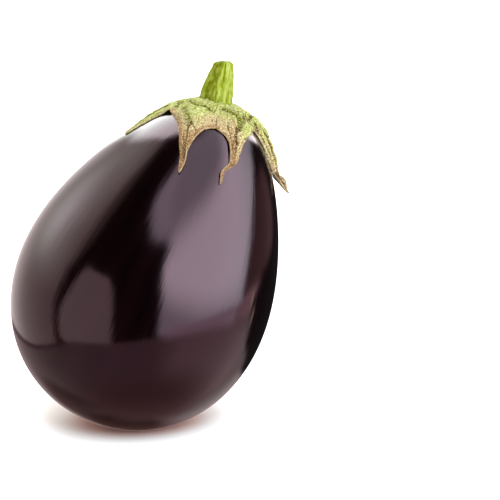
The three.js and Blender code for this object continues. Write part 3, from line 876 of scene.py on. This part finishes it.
def calyx_finish():
    finish, tree, shader = new_finish("calyx leaf", {
        "Roughness": 0.65,
        "Specular IOR Level": 0.05,
    })
    chart = attribute(tree, "chart")
    dry, olive, brown = parts_of(tree, attribute(tree, "tone"))
    crinkle = noise_of(tree, chart, 1.7, 2.0, 0.6)
    speckle = noise_of(tree, chart, 0.95, 3.0, 0.65)
    mottle = noise_of(tree, chart, 0.42, 3.0, 0.6)
    fibre = noise_of(tree, attribute(tree, "grain"), 2.6, 3.0, 0.6)
    rough = sums(tree, "ADD", sums(tree, "MULTIPLY", crinkle, 0.7),
                 sums(tree, "MULTIPLY", fibre, 0.3))
    green = blended(tree, step_between(tree, mottle, 0.38, 0.62), LIME, PALE_LIME)
    stray = sums(tree, "ADD", sums(tree, "MULTIPLY_ADD", speckle, 0.9, -0.45),
                 sums(tree, "MULTIPLY_ADD", crinkle, 0.7, -0.35))
    drier = sums(tree, "ADD", dry, stray)
    colour = blended(tree, step_between(tree, drier, 0.0, 0.6), green, CREAM)
    colour = blended(tree, step_between(tree, drier, 0.5, 1.1), colour, TAN)
    colour = blended(tree, step_between(tree, drier, 1.2, 1.9), colour, RUST)
    broken = sums(tree, "MULTIPLY_ADD", step_between(tree, speckle, 0.36, 0.58), 0.6, 0.4)
    oiled = sums(tree, "MULTIPLY_ADD", step_between(tree, fibre, 0.55, 0.75), 0.25,
                 sums(tree, "MULTIPLY", broken, olive))
    colour = blended(tree, step_between(tree, oiled, 0.08, 0.85), colour, OLIVE)
    torn = sums(tree, "MULTIPLY_ADD", step_between(tree, crinkle, 0.38, 0.58), 0.35, 0.65)
    browned = sums(tree, "MULTIPLY", brown, torn)
    colour = blended(tree, step_between(tree, browned, 0.08, 0.9), colour, BARK_BROWN)
    pale_edge = sums(tree, "MULTIPLY", attribute(tree, "rim", "Fac"), 0.55)
    colour = blended(tree, pale_edge, colour, RIM_CREAM)
    bent = add(tree, "VectorMath", chart, sums(tree, "MULTIPLY", speckle, 1.6), operation="ADD")
    wrinkle = add(tree, "TexVoronoi", stretched(tree, bent, (0.8, 0.8, 1)), None, 1.0,
                  out="Distance", feature="DISTANCE_TO_EDGE")
    # Painted shade: the cracks, and spots where the crinkle and fibre noise is high, are darkened
    # towards PIT_SHADE.
    crack = step_between(tree, wrinkle, 0.16, 0.02)
    painted_pit_shade = sums(tree, "MULTIPLY_ADD", crack, 0.25,
                sums(tree, "MULTIPLY", step_between(tree, rough, 0.52, 0.6), 0.75))
    painted_pit_shade = sums(tree, "MULTIPLY", painted_pit_shade, step_between(tree, browned, 1.0, 0.1))
    colour = blended(tree, painted_pit_shade, colour, PIT_SHADE, blend="MULTIPLY")
    # Painted highlight: spots where that noise is low are lightened towards CATCH_LIGHT.
    painted_highlight = sums(tree, "MULTIPLY", step_between(tree, rough, 0.49, 0.42), 0.5)
    colour = blended(tree, painted_highlight, colour, CATCH_LIGHT)
    plug(tree, shader.inputs["Base Color"], colour)
    ripple = sums(tree, "SUBTRACT", sums(tree, "ADD", speckle, fibre), crack)
    bumped(tree, shader, ripple, 0.8, BUMP_DEPTH)
    return finish


def stem_finish():
    finish, tree, shader = new_finish("stalk", {"Roughness": 0.5, "Specular IOR Level": 0.03})
    stalk = attribute(tree, "stalk")
    dark = attribute(tree, "dark", "Fac")
    face = attribute(tree, "face")
    fibre = noise_of(tree, stalk, 1.1, 4.0, 0.6, stretch=(1, 1, 0.16))
    mottle = noise_of(tree, stalk, 0.55, 3.0, 0.6, stretch=(1, 1, 0.55))
    light = blended(tree, step_between(tree, fibre, 0.42, 0.8), STALK_GREEN, STALK_LIGHT)
    # Painted light and shade: negative dark values, the right side among them, lighten towards
    # STALK_LIGHT, and positive ones, the left side and the grooves, darken towards STALK_DARK.
    paler = blended(tree, step_between(tree, dark, 0.0, -0.7), light, STALK_LIGHT)
    shade = sums(tree, "MULTIPLY_ADD", sums(tree, "SUBTRACT", mottle, 0.5), 1.8, dark)
    side = blended(tree, step_between(tree, shade, 0.0, 1.1), paler, STALK_DARK)
    near_foot = step_between(tree, parts_of(tree, stalk)[2], 8.0, 1.0)
    scratch = noise_of(tree, stalk, 1.3, 3.0, 0.65, stretch=(0.85, 0.85, 0.32))
    scored = sums(tree, "MULTIPLY_ADD", near_foot, 0.35, 0.45)
    furrow = sums(tree, "MULTIPLY", step_between(tree, scratch, 0.52, 0.62), scored)
    fleck = sums(tree, "MULTIPLY", step_between(tree, scratch, 0.47, 0.37), scored)
    side = blended(tree, furrow, side, STALK_DARK)
    side = blended(tree, fleck, side, STALK_LIGHT)
    rings = noise_of(tree, face, 1.6, 3.0, 0.6)
    cut_tone = blended(tree, step_between(tree, rings, 0.4, 0.7), CUT_PALE, CUT_BROWN)
    on_cut = step_between(tree, parts_of(tree, face)[2], 0.0, 0.06)
    plug(tree, shader.inputs["Base Color"], blended(tree, on_cut, side, cut_tone))
    bumped(tree, shader, fibre, 0.6, BUMP_DEPTH)
    return finish


def from_middle(tree, middle, spread):
    """Distance over the floor from a middle, in an oval that is drawn out by its spread."""
    shift = (-middle[0] * spread[0], -middle[1] * spread[1], 0)
    moved = stretched(tree, add(tree, "TexCoord", out="Object"), spread + (1,), shift)
    return add(tree, "VectorMath", moved, out="Value", operation="LENGTH")


def floor_finish():
    """Pale floor with a painted warm shadow round the foot of the fruit, and a painted soft glow
    further out.
    """
    finish, tree, shader = new_finish("studio floor", {
        "Roughness": 0.9,
        "Specular IOR Level": 0.0,
        "Emission Color": WHITE,
    })
    wide = from_middle(tree, (-0.0055, 0.0100), (0.85, 1.04))
    close = from_middle(tree, (-0.002, -0.001), (0.95, 1.15))
    # Painted shadow: the floor is darker and warmer round the fruit's foot.
    painted_foot_shadow = blended(tree, step_between(tree, close, 0.019, 0.032), FLOOR_FOOT_SHADOW, FLOOR_SHADOW_FRINGE)
    colour = blended(tree, step_between(tree, wide, 0.027, 0.045), painted_foot_shadow, FLOOR_WHITE)
    plug(tree, shader.inputs["Base Color"], colour)
    # Painted light: the floor glows further out, so only the floor near the fruit looks shaded.
    glow = sums(tree, "MULTIPLY", step_between(tree, wide, 0.027, 0.048), 0.5)
    plug(tree, shader.inputs["Emission Strength"], glow)
    return finish


# ---- studio --------------------------------------------------------------------------------
# The soft lights and dark gaps round the fruit, later ones over earlier ones, as directions
# in degrees. Azimuth is 0 behind the fruit, 90 right of it and 180 towards the camera.
# "rows" are (elevation, from azimuth, to azimuth), "columns" are (azimuth, from elevation,
# to elevation). After the colour come how many degrees the sides and the ends take to fade.
AMBIENT = (0.9, 0.8, 0.8)
# The white surroundings that light matt surfaces: warm near the floor, and their share.
DOME_LOW = (1.35, 0.95, 0.86, 1)
DOME_HIGH = (1.5, 1.5, 1.5, 1)
DOME_RISE = (4, 40)  # elevations between which it changes
DOME_SHARE = 0.6
FLOOR_HALF = 4  # metres
LIGHTS = (
    ("back window", "rows", (0.24, 0.14, 0.16), 8, 5,
     ((-5, 4, 8), (0, -9, 20), (8, -16, 36), (17, -20, 52), (25, -25, 90), (95, -25, 90))),
    ("left panel", "rows", (1.11, 0.91, 0.87), 3, 3,
     ((-27, -122, -12), (64, -122, -12))),
    ("left panel near", "rows", (1.30, 1.10, 1.08), 24, 12,
     ((-27, -60, -12), (0, -54, -12), (12, -48, -18))),
    ("left panel upper", "rows", (2.12, 2.24, 1.97), 34, 24,
     ((12, -98, -42), (30, -100, -46), (62, -104, -52))),
    ("left panel glow", "rows", (4.11, 4.21, 4.14), 30, 20,
     ((18, -74, -54), (28, -76, -56), (36, -82, -60))),
    ("left panel fall", "rows", (1.36, 1.24, 1.22), 10, 8,
     ((-4, -24, -8), (4, -28, -13), (12, -34, -20), (20, -38, -27), (28, -43, -35))),
    ("back left window", "rows", (7.5, 8.3, 8.0), 9, 8,
     ((0, -10, 15), (12, -18, 15), (28, -29, 15), (37, -39, 15), (50, -51, 10), (60, -61, 0),
      (68, -72, 0), (95, -80, 0))),
    ("right upper light", "rows", (2.35, 2.6, 2.8), 5, 8,
     ((-24, 84, 170), (0, 84, 170), (10, 77, 170), (17, 64, 170), (25, 52, 180),
      (35, 52, 200), (62, 52, 200), (78, 90, 200))),
    ("right upper edge", "rows", (2.9, 3.2, 3.4), 10, 8,
     ((30, 168, 178), (38, 173, 186), (47, 176, 194), (58, 172, 192))),
    ("right softbox", "columns", (6.5, 7.3, 7.7), (24, 26), (56, 8),
     ((84, -8, 62), (95, -17, 55), (105, -17, 49),
      (112, -17, 43), (120, -16, 37), (130, -14, 32), (140, -10, 29), (150, -6, 27),
      (160, 0, 25), (168, 6, 22))),
    ("arch shade", "rows", (0.37, 0.33, 0.27), 14, 14,
     ((16, -125, -106), (30, -125, -110), (56, -125, -104), (70, -125, -84))),
    ("dark arch", "rows", (0.006, 0, 0), (4, 7), 4,
     ((-27, 163, 256), (0, 163.5, 257.5), (6, 165, 256.5), (13, 166, 254), (17, 166, 253),
      (22, 165, 250), (25, 167.5, 248), (28, 175, 246), (31, 182, 244.5), (37, 190, 242),
      (42, 195, 241), (48, 197, 240.5), (54, 194, 242), (60, 190, 246), (65, 187, 256),
      (68, 186, 268), (72, 186, 282), (80, 186, 290))),
    ("arch foot", "rows", (0.30, 0.11, 0.11), 4, 6,
     ((-24, -113, -103), (-8, -109, -103))),
    ("front window", "rows", (1.47, 1.35, 1.30), 5, 5,
     ((-30, 202.5, 247), (-24, 203, 248), (-14, 202.5, 251), (-6, 202.5, 251), (2, 203.5, 248.5),
      (8, 205, 245), (13, 207.5, 242), (17, 212, 239.5), (19.5, 221, 237.5), (22, 231, 235.5))),
    ("floor", "columns", (0.58, 0.43, 0.43), 3, 2,
     ((-180, -95, -25), (-158, -95, -24.5), (-112, -95, -22), (-100, -95, -24), (-80, -95, -25),
      (-60, -95, -23), (-40, -95, -19), (-20, -95, -16), (-5, -95, -16), (15, -95, -28),
      (35, -95, -34), (50, -95, -35), (62, -95, -29), (72, -95, -23), (90, -95, -20),
      (120, -95, -21), (150, -95, -23), (163, -95, -24), (180, -95, -25))),
    ("floor front", "rows", (0.59, 0.41, 0.46), 30, (26, 12),
     ((-66, 150, 240), (-28, 160, 230))),
    ("floor on the right", "rows", (1.16, 0.89, 0.92), 30, (36, 12),
     ((-58, 40, 150), (-26, 60, 150))),
    ("floor low right", "rows", (0.68, 0.58, 0.58), 16, (20, 10),
     ((-58, 14, 44), (-46, 12, 40), (-32, 10, 28))),
    ("floor glow", "rows", (2.57, 2.14, 2.55), 12, 9,
     ((-26, 86, 158), (-20, 86, 158))),
    ("floor underneath", "rows", (0.463, 0.252, 0.244), 10, 34,
     ((-130, -360, 360), (-58, -360, 360))),
    ("floor back left", "rows", (0.25, 0.15, 0.14), 20, (26, 14),
     ((-66, -80, -20), (-50, -70, -20), (-34, -50, -16))),
    ("floor behind", "rows", (0.14, 0.07, 0.06), 14, (22, 8),
     ((-68, -42, 12), (-60, -38, 10), (-45, -26, 6), (-33, -14, 3), (-26, -8, 0))),
    ("side shadow", "rows", (0.02, 0.02, 0.02), 6, 5,
     ((-34, 30, 52), (-30, 19, 60), (-24, 8, 66), (-20, 4, 74), (-16, 3, 85), (-10, 3, 84),
      (-4, 10, 82), (4, 26, 80), (10, 37, 77), (16, 43, 70), (21, 51, 64))),
    ("notch light", "rows", (7, 6.6, 6.8), 5, 5,
     ((-3, 2, 14), (0, 3, 19), (3, 5, 23), (6, 8, 28), (9, 10, 33), (12, 13, 38),
      (16, 16, 43), (20, 20, 48), (26, 26, 54))),
    ("side shadow glow", "rows", (0.38, 0.21, 0.21), 14, 8,
     ((-16, 66, 84), (-8, 40, 84), (0, 44, 82), (8, 52, 78))),
    ("side shadow streak", "rows", (1.5, 0.95, 1.05), 6, 5,
     ((-25, 72, 90), (-20, 69, 87), (-16, 62, 78))),
    ("horizon", "columns", (0.23, 0.12, 0.15), 1.6, 6,
     ((-113, -24, -20.5), (-100, -25.5, -23.5), (-80, -26.5, -24.5), (-60, -24.5, -22.5),
      (-40, -20.5, -18.7), (-20, -17, -15.7))),
)


def boundary(tree, place, ends, outline):
    """A side of a light as a soft curve: its angle for each place along the light."""
    first, last = ends
    least, most = min(v for _, v in outline), max(v for _, v in outline)
    if most - least < 1e-6:
        return float(least)
    curve = tree.nodes.new("ShaderNodeFloatCurve")
    points = curve.mapping.curves[0].points
    for index, (where, value) in enumerate(outline):
        spot = ((where - first) / (last - first), (value - least) / (most - least))
        if index in (0, len(outline) - 1):
            point = points[0 if index == 0 else len(points) - 1]
            point.location = spot
        else:
            point = points.new(*spot)
        point.handle_type = "AUTO_CLAMPED"
    curve.mapping.update()
    plug(tree, curve.inputs[1], add(tree, "MapRange", place, float(first), float(last)))
    return sums(tree, "MULTIPLY_ADD", curve.outputs[0], most - least, least)


def both_ends(fade):
    """A fade as a pair, where one number stands for both."""
    return fade if isinstance(fade, tuple) else (fade, fade)


def light_window(tree, azimuth, elevation, kind, side_fade, end_fade, shape):
    """How much of a light is seen in each direction: 1 inside its outline, 0 outside."""
    if kind == "rows":
        middle = (min(row[1] for row in shape) + max(row[2] for row in shape)) / 2
    else:
        middle = (shape[0][0] + shape[-1][0]) / 2
    wrapped = sums(tree, "WRAP", azimuth, middle + 180, middle - 180)
    place, across = (elevation, wrapped) if kind == "rows" else (wrapped, elevation)
    ends = shape[0][0], shape[-1][0]
    start = boundary(tree, place, ends, [(row[0], row[1]) for row in shape])
    stop = boundary(tree, place, ends, [(row[0], row[2]) for row in shape])
    start_fade, stop_fade = both_ends(side_fade)
    first_fade, last_fade = both_ends(end_fade)
    masks = [
        step_between(tree, sums(tree, "SUBTRACT", across, start), -start_fade / 2, start_fade / 2),
        step_between(tree, sums(tree, "SUBTRACT", stop, across), -stop_fade / 2, stop_fade / 2),
    ]
    if ends[1] - ends[0] < 359:
        masks.append(step_between(tree, place, ends[0] - first_fade / 2, ends[0] + first_fade / 2))
        masks.append(step_between(tree, place, ends[1] + last_fade / 2, ends[1] - last_fade / 2))
    window = masks[0]
    for mask in masks[1:]:
        window = sums(tree, "MULTIPLY", window, mask)
    return window


def make_studio():
    world = bpy.data.worlds.new("studio")
    world.use_nodes = True
    scene.world = world
    tree = world.node_tree
    tree.nodes.clear()
    right, behind, up = parts_of(tree, add(tree, "TexCoord", out="Generated"))
    azimuth = sums(tree, "DEGREES", sums(tree, "ARCTAN2", right, behind))
    elevation = sums(tree, "DEGREES", sums(tree, "ARCSINE", up))
    level = AMBIENT + (1,)
    for _, kind, colour, side_fade, end_fade, shape in LIGHTS:
        window = light_window(tree, azimuth, elevation, kind, side_fade, end_fade, shape)
        level = blended(tree, window, level, colour + (1,))
    dome = blended(tree, step_between(tree, elevation, *DOME_RISE), DOME_LOW, DOME_HIGH)
    softened = blended(tree, DOME_SHARE, level, dome)
    level = blended(tree, add(tree, "LightPath", out="Is Glossy Ray"), softened, level)
    light = add(tree, "Background", level)
    backdrop = add(tree, "Background", WHITE)
    both = add(tree, "MixShader", add(tree, "LightPath", out="Is Camera Ray"), light, backdrop)
    output = tree.nodes.new("ShaderNodeOutputWorld")
    tree.links.new(both, output.inputs[0])


def make_floor():
    sheet = bmesh.new()
    bmesh.ops.create_grid(sheet, x_segments=4, y_segments=4, size=FLOOR_HALF)
    mesh = bpy.data.meshes.new("floor")
    sheet.to_mesh(mesh)
    sheet.free()
    floor = bpy.data.objects.new("floor", mesh)
    scene.collection.objects.link(floor)
    mesh.materials.append(floor_finish())
    floor.visible_glossy = False


CAMERA_TARGET = (0.04665, 0, 0.07445)
CAMERA_ELEVATION = np.radians(13)
CAMERA_DISTANCE = 0.5833
CAMERA_LENS = 100


def make_camera():
    lens = bpy.data.cameras.new("camera")
    lens.sensor_width = 36
    lens.lens = CAMERA_LENS
    camera = bpy.data.objects.new("camera", lens)
    scene.collection.objects.link(camera)
    back = Vector((0, -np.cos(CAMERA_ELEVATION), np.sin(CAMERA_ELEVATION)))
    camera.location = Vector(CAMERA_TARGET) + back * CAMERA_DISTANCE
    camera.rotation_euler = back.to_track_quat("Z", "Y").to_euler()
    scene.camera = camera


# ---- putting it together -------------------------------------------------------------------
make_camera()
make_studio()
make_floor()
for node_name, slot, maker, finish_maker in (
    ("fruit", "skin", make_fruit, skin_finish),
    ("calyx", "calyx", make_calyx, calyx_finish),
    ("stem", "stem", make_stem, stem_finish),
):
    piece = maker()
    piece.data.materials.append(finish_maker())
    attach(piece, "root")
    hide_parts(node_name)

scene.view_settings.view_transform = "Standard"
scene.cycles.use_denoising = True
